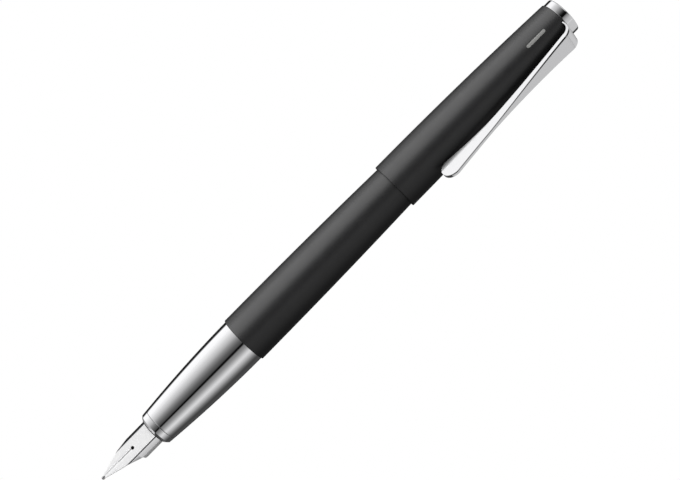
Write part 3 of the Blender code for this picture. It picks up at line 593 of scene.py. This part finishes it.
def feed_section(x, width, bottom):
    """Feed cross-section at x: fits under the folded nib and is round below."""
    top = NIB_TOP - SHEET - 0.06 * MM
    half = [(1.99 * MM * width, top), (2.78 * MM * width, 1.2 * MM)]
    arc_top = min(1.0 * MM, bottom + 2.75 * MM)
    side = 2.84 * MM * width
    half.append((side, arc_top))
    for a in [math.radians(d) for d in range(8, 90, 8)]:
        half.append((side * math.cos(a), arc_top + (bottom - arc_top) * math.sin(a)))
    points = half + [(0.0, bottom)] + [(-y, z) for y, z in reversed(half)]
    return [(x, y, z) for y, z in points]


def make_feed():
    """Wedge under the nib, cut by comb slots below and by an ink channel on top."""
    start, end = span("feed")
    full_x, shoulder, full = 16.4 * MM, 24.8 * MM, -2.95 * MM
    # place along the pen, share of the full width, bottom
    stations = ((start, 0.3, 0.9 * MM), (8.2 * MM, 0.62, 0.2 * MM), (10.8 * MM, 0.98, -1.1 * MM),
                (13.5 * MM, 1.0, -2.3 * MM), (full_x, 1.0, full))
    sections = []
    for here, following in zip(stations, stations[1:]):
        for step in range(4):
            sections.append(feed_section(*(a + (b - a) * step / 4
                                           for a, b in zip(here, following))))
    sections += [feed_section(full_x, 1.0, full), feed_section(shoulder, 1.0, full)]
    feed = to_object("feed_block", lofted_mesh(sections), NIB_TO_ROW)

    first_slot, slot_step, slot_width, reach = 11.2 * MM, 0.62 * MM, 0.26 * MM, 4 * MM
    slots = []
    for i in range(9):
        x = first_slot + slot_step * i
        slots.append(block_object(f"slot_{i}", (x, -reach, -reach),
                                  (x + slot_width, reach, -0.15 * MM), NIB_TO_ROW))
    half = 0.14 * MM
    channel = block_object("ink_channel", (start - MM, -half, NIB_TOP - SHEET - 0.5 * MM),
                           (shoulder + MM, half, NIB_TOP + MM), NIB_TO_ROW)
    cut(feed, *slots, channel)
    settle(feed, FINISH["black_plastic"], "section", "black_plastic", "feed")
    stem = 2.28 * MM
    turned("feed_stem", [(shoulder, 0.0), (shoulder, stem), (end, stem, 0.3 * MM), (end, 0.0)],
           "black_plastic", "section", "black_plastic", [], INNER_ROUND, closed=False)


# --- converter -----------------------------------------------------------------------------------

def make_converter():
    tube_r, tube_bore, collar_r, rod = 3.4 * MM, 2.75 * MM, 3.68 * MM, 1.1 * MM

    def part(name, outline, finish, body, slot, node, closed=True, shape=None):
        turned(name, outline, finish, body, slot, [node], INNER_ROUND, closed, shape)

    start, end = span("converter_tube")
    part("ink_tube", [(start, tube_r, EDGE), (end, tube_r, EDGE), (end, tube_bore, EDGE),
                      (start, tube_bore, EDGE)], "clear", "converter", "clear_plastic",
         "converter_tube")

    start, end = span("converter_mouth")
    bore, plug, flange = 1.25 * MM, tube_bore - 0.05 * MM, start + 0.95 * MM
    funnel = 0.4 * MM
    part("tube_mouth", [(start, bore + funnel, EDGE), (start, tube_r, 0.2 * MM),
                        (flange, tube_r, EDGE), (flange, plug), (end, plug, 0.2 * MM),
                        (end, bore, EDGE), (start + funnel, bore)],
         "grey_plastic", "converter", "grey_plastic", "converter_mouth")

    start, end = span("converter_collar")
    inner, lip, inside = tube_r + 0.05 * MM, rod + 1.75 * MM, end - 0.4 * MM
    part("tube_collar", [(start, inner), (start, collar_r, EDGE), (end, collar_r, 0.15 * MM),
                         (end, lip, EDGE), (inside, lip), (inside, inner)], "chrome", "converter",
         "bright_chrome", "converter_collar")

    start, end = span("spindle_nut")
    tube_end = span("converter_tube")[1] + 0.06 * MM
    part("rod_nut", [(start, rod + 0.1 * MM), (start, plug, EDGE), (tube_end, plug),
                     (tube_end, tube_r, EDGE), (end, tube_r, EDGE), (end, rod + 0.1 * MM)],
         "black_plastic", "converter", "black_plastic", "spindle_nut")

    start, end = span("piston_seal")
    full, waist, socket, lip = tube_bore - 0.06 * MM, 2.19 * MM, rod - 0.3 * MM, 1.1 * MM
    soft, fall, floor = 0.15 * MM, 0.3 * MM, end - 2.4 * MM
    part("piston_head", [(start, 0.0), (start, waist, soft), (start + 0.4 * MM, full, soft),
                         (start + lip, full, soft), (start + lip + fall, waist, 0.1 * MM),
                         (end - lip - fall, waist, 0.1 * MM), (end - lip, full, soft),
                         (end, full, soft), (end, socket), (floor, socket), (floor, 0.0)],
         "rubber", "piston", "seal_rubber", "piston_seal", closed=False)

    start, end = span("piston_rod")
    neck, tip = span("piston_seal")[1] + 0.05 * MM, rod - 0.35 * MM
    flutes = 6

    def fluted(x, r, angle):
        if r < rod - 0.01 * MM:
            return r
        return r - 0.16 * MM * max(math.cos(flutes * angle), 0.0) ** 3

    part("piston_spindle", [(start, 0.0), (start, tip, 0.1 * MM), (neck, tip), (neck, rod, EDGE),
                            (end, rod, 0.25 * MM), (end, 0.0)],
         "grey_plastic", "piston", "grey_plastic", "piston_rod", closed=False, shape=fluted)

    start, end = span("converter_knob")
    body_x = span("converter_collar")[1] + 0.25 * MM
    knob_r, neck_r, bore = 3.3 * MM, rod + 1.6 * MM, rod + 0.3 * MM
    ribs = 24
    rib_start, rib_end = end - 9.0 * MM, end - 1.2 * MM

    def ribbed(x, r, angle):
        inside = rib_start < x < rib_end and r > knob_r - 0.01 * MM
        return r - (0.14 * MM * (0.5 - 0.5 * math.cos(ribs * angle)) if inside else 0.0)

    floor = end - 0.9 * MM
    part("knob", [(end, 0.0), (end, knob_r, 0.4 * MM),
                  *((x, knob_r) for x in spread(rib_end + 0.2 * MM, rib_start - 0.2 * MM, 60)),
                  (body_x, knob_r, 0.3 * MM), (body_x, neck_r), (start, neck_r, EDGE),
                  (start, bore), (floor, bore), (floor, 0.0)],
         "red_plastic", "knob", "red_plastic", "converter_knob", closed=False, shape=ribbed)


# --- cap -----------------------------------------------------------------------------------------

CAP_WALL = 0.35 * MM
TOP_BORE = 4.6 * MM
SHOULDER = 148.3 * MM           # where the thick end of the cap begins
ARM_HALF = 2.95 * MM
ARM_THICK = 0.5 * MM
ARM_FACE_X = 153.66 * MM
ARM_FOOT = 3.95 * MM
HINGE_X = 152.8 * MM
HINGE_RADIUS = 2.9 * MM


def make_cap():
    lip_bore, slack = 6.13 * MM, 0.12 * MM
    outer = [(x, cap_radius(x)) for x in spread(CAP_LIP_X + 0.5 * MM, CAP_END_X - 0.3 * MM, 70)]
    inner = [(x, cap_radius(x) - CAP_WALL) for x in spread(SHOULDER, CAP_LIP_X + 9 * MM, 30)]
    outline = [(CAP_LIP_X, lip_bore, 0.04 * MM), (CAP_LIP_X, cap_radius(CAP_LIP_X), EDGE), *outer,
               (CAP_END_X, cap_radius(CAP_END_X), 0.07 * MM), (CAP_END_X, TOP_BORE, 0.05 * MM),
               (SHOULDER, TOP_BORE), *inner, (CAP_LIP_X + 2 * MM, lip_bore)]
    side = ARM_HALF + slack
    notch = block_object("notch", (ARM_FACE_X - ARM_THICK - slack, -side, 3 * MM),
                         (CAP_END_X + MM, side, 8 * MM), CLIP_TO_ROW)
    turned("cap_tube", outline, "black", "cap", "matt_black", ["cap_shell"], matrix=CLIP_TO_ROW,
           cutters=[notch])


def make_inner_cap():
    """Liner: a wide mouth, a ring that holds the barrel's tail, and the room for the nib."""
    start, end = span("inner_cap")
    step, wall, nib_bore, hole = 129.3 * MM, 147.1 * MM, 4.05 * MM, 0.97 * MM
    held_x = 125.6 * MM
    hold = barrel_radius(held_x) + 0.06 * MM
    outer = [(x, cap_radius(x) - CAP_WALL - 0.05 * MM) for x in spread(start, end, 24)]
    inner = [(end, hole), (wall, hole), (wall, nib_bore, 0.3 * MM), (step, nib_bore, 0.2 * MM),
             (step, hold), (step - 4 * MM, hold), (start, cap_radius(start) - CAP_WALL - 0.34 * MM)]
    turned("cap_liner", outer + inner, "grey_plastic", "cap", "grey_plastic", ["inner_cap"],
           INNER_ROUND, matrix=CLIP_TO_ROW)


HEAD_RADIUS = 4.86 * MM
HEAD_FLAT = HEAD_RADIUS * math.cos(math.radians(20.0))


def make_head():
    """Bright end disc with its rounded rim and the flat beside the clip's arm."""
    start, end = span("cap_head")
    face = CAP_END_X + 0.08 * MM
    spigot, bore, bore_end = 1.52 * MM, 0.97 * MM, face + 0.6 * MM
    soft = 0.02 * MM

    def flat(x, r, angle):
        """Radius held inside the flat, with the corner eased over about soft."""
        limit = HEAD_FLAT / max(math.cos(angle), 1e-6) if math.cos(angle) > 0 else 1.0
        excess = (r - limit) / soft
        return r - soft * math.log1p(math.exp(min(excess, 40.0))) if excess > -20 else r

    side = [(x, HEAD_RADIUS) for x in spread(end - 0.5 * MM, face + 0.2 * MM, 4)]
    outline = [(end, 0.0), (end, 0.6 * HEAD_RADIUS), (end, 0.9 * HEAD_RADIUS),
               (end, HEAD_RADIUS, 0.35 * MM), *side,
               (face, HEAD_RADIUS, 0.07 * MM), (face, spigot, 0.04 * MM), (start, spigot, EDGE),
               (start, bore), (bore_end, bore), (bore_end, 0.0)]
    turned("cap_disc", outline, "chrome", "cap", "bright_chrome", ["cap_head"], 360, False, flat,
           CLIP_TO_ROW)


# --- clip ----------------------------------------------------------------------------------------

# The free end is a blade that stands on edge; towards the head the bar widens to a flat band, and
# bends there into the arm that goes down into the cap.
BLADE_END_X = span("clip")[0]
BLADE_X = 111.0 * MM            # end of the blade's rounded tip
BLADE_REACH = 11.6 * MM         # outer edge from the pen's axis
BLADE_HALF = 0.52 * MM          # half the thickness
BAND_X = 151.0 * MM             # start of the bend
BAND_REACH = 8.12 * MM
BAND_HALF = 2.68 * MM           # half the width
BAND_LIFT = 1.6 * MM            # gap between cap and clip, where it doesn't dip
DIP_X = 128.0 * MM              # from here to the blade the inner edge nears the cap
DIP_RUN = 15.6 * MM
BLADE_DIP = 1.0 * MM
WIDEN_X = 123.0 * MM
CLIP_CHAMFER = 0.3 * MM


def clip_outer(x):
    run = max(BAND_X - x, 0.0) / (BAND_X - BLADE_X)
    return BAND_REACH + (BLADE_REACH - BAND_REACH) * run ** 1.5


def clip_inner(x):
    dip = max(DIP_X - x, 0.0) / DIP_RUN
    return cap_radius(x) + BAND_LIFT - BLADE_DIP * dip ** 2


def clip_half_width(x):
    run = min(max((x - WIDEN_X) / (BAND_X - WIDEN_X), 0.0), 1.0)
    return BLADE_HALF + (BAND_HALF - BLADE_HALF) * run ** 1.35


def clip_section(centre, out, thick, wide):
    """Rectangle round centre (x, radius), standing across out, with its outer edges chamfered."""
    large = min(CLIP_CHAMFER, 0.55 * thick, 0.14 * MM + 0.06 * wide)
    points = []
    for across, up in ((1, 1), (-1, 1), (-1, -1), (1, -1)):
        trim = large if up > 0 else 0.4 * large
        corner = [(across * wide, up * (thick - 0.9 * trim)), (across * (wide - trim), up * thick)]
        points += corner if across * up > 0 else corner[::-1]
    return [(centre[0] + out[0] * t, w, centre[1] + out[1] * t) for w, t in points]


def clip_middle(x):
    """Height of the bar's middle over the axis, and half of the bar's height."""
    return (clip_outer(x) + clip_inner(x)) / 2, (clip_outer(x) - clip_inner(x)) / 2


def make_clip():
    sections = []
    middle, tall = clip_middle(BLADE_X)
    for step in range(1, 24):
        a = math.radians(90 * step / 24)
        x = BLADE_X - (BLADE_X - BLADE_END_X) * math.cos(a)
        sections.append(clip_section((x, middle - 0.12 * MM * math.cos(a)), (0, 1),
                                     tall * math.sin(a) ** 0.9, BLADE_HALF))
    for x in spread(BLADE_X, BAND_X, 110):
        middle, tall = clip_middle(x)
        sections.append(clip_section((x, middle), (0, 1), tall, clip_half_width(x)))

    middle, tall = clip_middle(BAND_X)
    arm_x = ARM_FACE_X - ARM_THICK / 2
    bend = arm_x - BAND_X
    for step in range(1, 25):
        a = math.radians(90 * step / 24)
        out = (math.sin(a), math.cos(a))
        centre = (BAND_X + bend * out[0], middle - bend + bend * out[1])
        sections.append(clip_section(centre, out, tall + (ARM_THICK / 2 - tall) * step / 24,
                                     BAND_HALF + (ARM_HALF - BAND_HALF) * step / 24))
    eye_half = 1.2 * MM
    for radius, wide, thick in ((ARM_FOOT, ARM_HALF, 0.19 * MM),
                                (ARM_FOOT - 0.4 * MM, eye_half, 0.22 * MM),
                                (HINGE_RADIUS, eye_half, 0.22 * MM)):
        sections.append(clip_section((arm_x, radius), (1, 0), thick, wide))
    clip = to_object("clip_bar", lofted_mesh(sections), CLIP_TO_ROW, 28)
    eye = rod_object("eye", (HINGE_X, -eye_half, HINGE_RADIUS), (HINGE_X, eye_half, HINGE_RADIUS),
                     0.8 * MM, CLIP_TO_ROW)
    hole = rod_object("eye_hole", (HINGE_X, -2 * MM, HINGE_RADIUS), (HINGE_X, 2 * MM, HINGE_RADIUS),
                      0.4 * MM, CLIP_TO_ROW)
    cut(clip, eye, operation="UNION")
    cut(clip, hole)
    settle(clip, FINISH["clip_chrome"], "clip", "bright_chrome", "clip")


def make_mark():
    """Plain bar let into the cap in place of any lettering."""
    start, end, half, angle = 143.2 * MM, 149.2 * MM, 0.4 * MM, math.radians(53.0)
    bm = bmesh.new()
    rows = []
    for x in spread(start, end, 40):
        reach = min(x - start, end - x, half)
        width = math.sqrt(max(half ** 2 - (half - reach) ** 2, (0.02 * MM) ** 2))
        radius = cap_radius(x) + 0.012 * MM
        rows.append([bm.verts.new((x, radius * math.sin(a), radius * math.cos(a)))
                     for a in spread(angle - width / radius, angle + width / radius, 5)])
    for a, b in zip(rows, rows[1:]):
        for i in range(4):
            bm.faces.new((a[i], a[i + 1], b[i + 1], b[i]))
    mark = to_object("cap_mark", bm, CLIP_TO_ROW)
    solid = mark.modifiers.new("thickness", "SOLIDIFY")
    solid.thickness, solid.offset = 0.05 * MM, 0.0
    apply_modifiers(mark)
    settle(mark, FINISH["mark"], "cap", "bright_chrome")


def dress_plain_nodes():
    """The small inner pieces whose CAD shape is already right keep it and get a real finish."""
    for node in ("clip_carrier", "clip_pin", "clip_spring", "cap_screw"):
        obj = frame["nodes"][node]
        obj.data.materials.clear()
        obj.data.materials.append(FINISH["steel"])


# --- studio --------------------------------------------------------------------------------------

CAMERA_TURN = math.radians(46.0)       # from the clip's direction round the pen to the camera
CAMERA_ROLL = math.radians(45.46)
CAMERA_DISTANCE = 0.34
CAMERA_X = 83.34 * MM
AIM_X = 80.2 * MM
AIM_RISE = 0.308 * MM                  # of the aim over the pen's axis, across the view
LENS = 75.35

# Brightness of the studio round the pen, by elevation in degrees as seen from the pen: the table
# below, a dark gap over its edge, a soft rise to the overhead box, and a dark far side.
STUDIO = ((-180, 0.04), (-119, 0.083), (-99, 0.067), (-91, 0.093), (-77, 0.232), (-65, 0.455),
          (-53, 0.70), (-43, 0.92), (-36, 0.85), (-31, 0.72), (-21, 0.48), (-13, 0.333),
          (-2.5, 0.26), (-0.5, 0.12), (2, 0.02), (4, 0.0), (8.5, 0.0), (10, 0.043), (14, 0.093),
          (24, 0.141), (34, 0.24), (44, 0.371), (52, 0.53), (62, 0.704), (75, 0.88), (85, 1.05),
          (96, 1.18), (104, 1.3), (136, 1.35), (142, 0.5), (147, 0.01), (180, 0.03))
# The same a little to the head's side, where the dark gap is wider and the rise above it later.
HEAD_STUDIO = ((-180, 0.04), (-119, 0.083), (-99, 0.067), (-91, 0.093), (-77, 0.232), (-65, 0.455),
               (-53, 0.70), (-43, 0.80), (-30, 0.72), (-19.5, 0.69), (-11.5, 0.558), (-3.5, 0.424),
               (4.5, 0.26), (7.5, 0.12), (9.5, 0.0), (22.5, 0.006), (30.5, 0.045), (38.5, 0.14),
               (46.5, 0.25), (56.5, 0.395), (64.5, 0.565), (74.5, 0.70), (84.5, 0.83), (94.5, 1.01),
               (104, 1.25), (136, 1.35), (142, 0.5), (147, 0.01), (180, 0.03))
# The same towards the two ends of the pen, beyond the nib and beyond the head.
NIB_SIDE = ((-180, 0.3), (-120, 0.05), (0, 0.05), (22, 0.4), (40, 0.8), (120, 0.8), (180, 0.3))
HEAD_SIDE = ((-180, 0.4), (-120, 0.75), (-20, 0.75), (-4, 0.05), (16, 0.05), (30, 0.5), (60, 0.8),
             (180, 0.5))


def make_camera():
    """Looks at the pen from the side, almost square on, rolled as in the photograph."""
    tilt = math.radians(90.0) - CLIP_ROLL + CAMERA_TURN
    outwards = Vector((0.0, -math.cos(tilt), math.sin(tilt)))
    above = Vector((0.0, math.sin(tilt), math.cos(tilt)))
    aim = Vector((POINT_X + AIM_X, AXIS.y, AXIS.z)) + above * AIM_RISE
    place = aim + Vector((CAMERA_X - AIM_X, 0.0, 0.0)) + outwards * CAMERA_DISTANCE
    towards = (place - aim).normalized()
    along = (Vector((1.0, 0.0, 0.0)) - towards * towards.x).normalized()
    above = towards.cross(along)
    right = along * math.cos(CAMERA_ROLL) - above * math.sin(CAMERA_ROLL)
    up = along * math.sin(CAMERA_ROLL) + above * math.cos(CAMERA_ROLL)
    data = bpy.data.cameras.new("camera")
    data.lens, data.sensor_width = LENS, 36.0
    data.clip_start, data.clip_end = 0.01, 20.0
    camera = bpy.data.objects.new("camera", data)
    bpy.context.scene.collection.objects.link(camera)
    rotation = Matrix((right, up, towards)).transposed().to_4x4()
    camera.matrix_world = Matrix.Translation(place) @ rotation
    bpy.context.scene.camera = camera


def make_sky():
    """Studio light by direction: ramps over the elevation round the pen and towards its ends."""
    world = bpy.data.worlds.new("studio")
    bpy.context.scene.world = world
    world.use_nodes = True
    nodes, links = world.node_tree.nodes, world.node_tree.links

    def math_node(operation, *values):
        node = nodes.new("ShaderNodeMath")
        node.operation = operation
        for socket, value in zip(node.inputs, values):
            if isinstance(value, (int, float)):
                socket.default_value = value
            else:
                links.new(value, socket)
        return node.outputs[0]

    direction = nodes.new("ShaderNodeSeparateXYZ")
    links.new(nodes.new("ShaderNodeTexCoord").outputs["Generated"], direction.inputs[0])
    x, y, z = direction.outputs
    angle = math_node("ARCTAN2", z, math_node("MULTIPLY", y, -1.0))

    def ramp_node(levels, place):
        ramp = nodes.new("ShaderNodeValToRGB")
        stops = ramp.color_ramp.elements
        stops[0].position, stops[1].position = 0.0, 1.0
        for elevation, _ in levels[1:-1]:
            stops.new(elevation / 360.0 + 0.5)
        for stop, (_, level) in zip(stops, levels):
            stop.color = (level, level, level, 1.0)
        links.new(place, ramp.inputs["Fac"])
        return ramp.outputs["Color"]

    def blend(factor, first, second):
        mix = nodes.new("ShaderNodeMix")
        mix.data_type = "RGBA"
        for output, socket in ((factor, "Factor"), (first, "A"), (second, "B")):
            links.new(output, mix.inputs[socket])
        return mix.outputs["Result"]

    def between(value, start, end):
        node = nodes.new("ShaderNodeMapRange")
        node.interpolation_type = "SMOOTHSTEP"
        node.inputs["From Min"].default_value, node.inputs["From Max"].default_value = start, end
        links.new(value, node.inputs["Value"])
        return node.outputs["Result"]

    place = math_node("MULTIPLY_ADD", angle, 1.0 / math.tau, 0.5)
    middle = blend(between(x, 0.12, 0.19), ramp_node(STUDIO, place), ramp_node(HEAD_STUDIO, place))
    sides = blend(math_node("GREATER_THAN", x, 0.0), ramp_node(NIB_SIDE, place),
                  ramp_node(HEAD_SIDE, place))
    everything = blend(between(math_node("ABSOLUTE", x), 0.4, 0.56), middle, sides)
    links.new(everything, nodes["Background"].inputs["Color"])
    nodes["Background"].inputs["Strength"].default_value = 1.0


def plane_object(name, size, height):
    bm = bmesh.new()
    bmesh.ops.create_grid(bm, x_segments=1, y_segments=1, size=size / 2)
    return to_object(name, bm, Matrix.Translation((0, 0, height)))


def glow_material(name):
    """White that shines by itself and takes no light."""
    material = bpy.data.materials.new(name)
    material.use_nodes = True
    shader = material.node_tree.nodes["Principled BSDF"]
    shader.inputs["Base Color"].default_value = (0.0, 0.0, 0.0, 1.0)
    shader.inputs["Roughness"].default_value = 1.0
    shader.inputs["Specular IOR Level"].default_value = 0.0
    shader.inputs["Emission Color"].default_value = (1.0, 1.0, 1.0, 1.0)
    shader.inputs["Emission Strength"].default_value = 1.0
    return material


TABLE_HEIGHT = -4.0 * MM        # low enough for the lifted clip to stay above it
TABLE_SIZE = 7.0                # in metres, from edge to edge
DOME_RADIUS = 5.0


def make_stage():
    """White table and backdrop for the camera alone; the pen reflects the studio, not them."""
    table = plane_object("table", TABLE_SIZE, TABLE_HEIGHT)
    dome = bmesh.new()
    bmesh.ops.create_uvsphere(dome, u_segments=48, v_segments=24, radius=DOME_RADIUS)
    backdrop = to_object("backdrop", dome, Matrix.Identity(4))
    for obj in (table, backdrop):
        obj.data.materials.append(glow_material(obj.name + "_white"))
        obj.visible_glossy = obj.visible_diffuse = obj.visible_shadow = False


def soft_box(name, elevation, distance, size, radiance, glossy, receivers):
    """Long panel lamp facing the pen from the given elevation, lighting only the named pieces."""
    light = bpy.data.lights.new(name, "AREA")
    light.shape, light.size, light.size_y = "RECTANGLE", *size
    light.energy = radiance * math.pi * size[0] * size[1]
    lamp = bpy.data.objects.new(name, light)
    bpy.context.scene.collection.objects.link(lamp)
    angle = math.radians(elevation)
    direction = Vector((0.0, -math.cos(angle), math.sin(angle)))
    lamp.location = AXIS + direction * distance
    lamp.rotation_mode = "QUATERNION"
    lamp.rotation_quaternion = direction.to_track_quat("Z", "Y")
    lamp.visible_camera, lamp.visible_glossy = False, glossy
    group = bpy.data.collections.new(name + "_pieces")
    for piece in receivers:
        group.objects.link(bpy.data.objects[piece])
    lamp.light_linking.receiver_collection = group


def make_lights():
    soft_box("top_box", 76, 1.0, (2.0, 1.3), 3.8, True, ["barrel_tube", "cap_tube"])
    soft_box("fill_box", -12, 1.0, (2.0, 0.45), 0.66, True, ["barrel_tube", "cap_tube"])
    soft_box("front_box", 28, 1.0, (0.8, 0.5), 7.0, False, ["nib_sheet", "nib_pellet"])
    soft_box("low_box", -76, 0.5, (0.66, 0.36), 0.5, True, ["clip_bar", "cap_disc"])


def main():
    make_barrel()
    make_grip()
    make_section_core()
    make_nib()
    make_tipping()
    make_feed()
    make_converter()
    make_cap()
    make_inner_cap()
    make_head()
    make_clip()
    make_mark()
    dress_plain_nodes()
    make_camera()
    make_sky()
    make_stage()
    make_lights()
    bpy.context.scene.view_settings.view_transform = "Standard"


main()
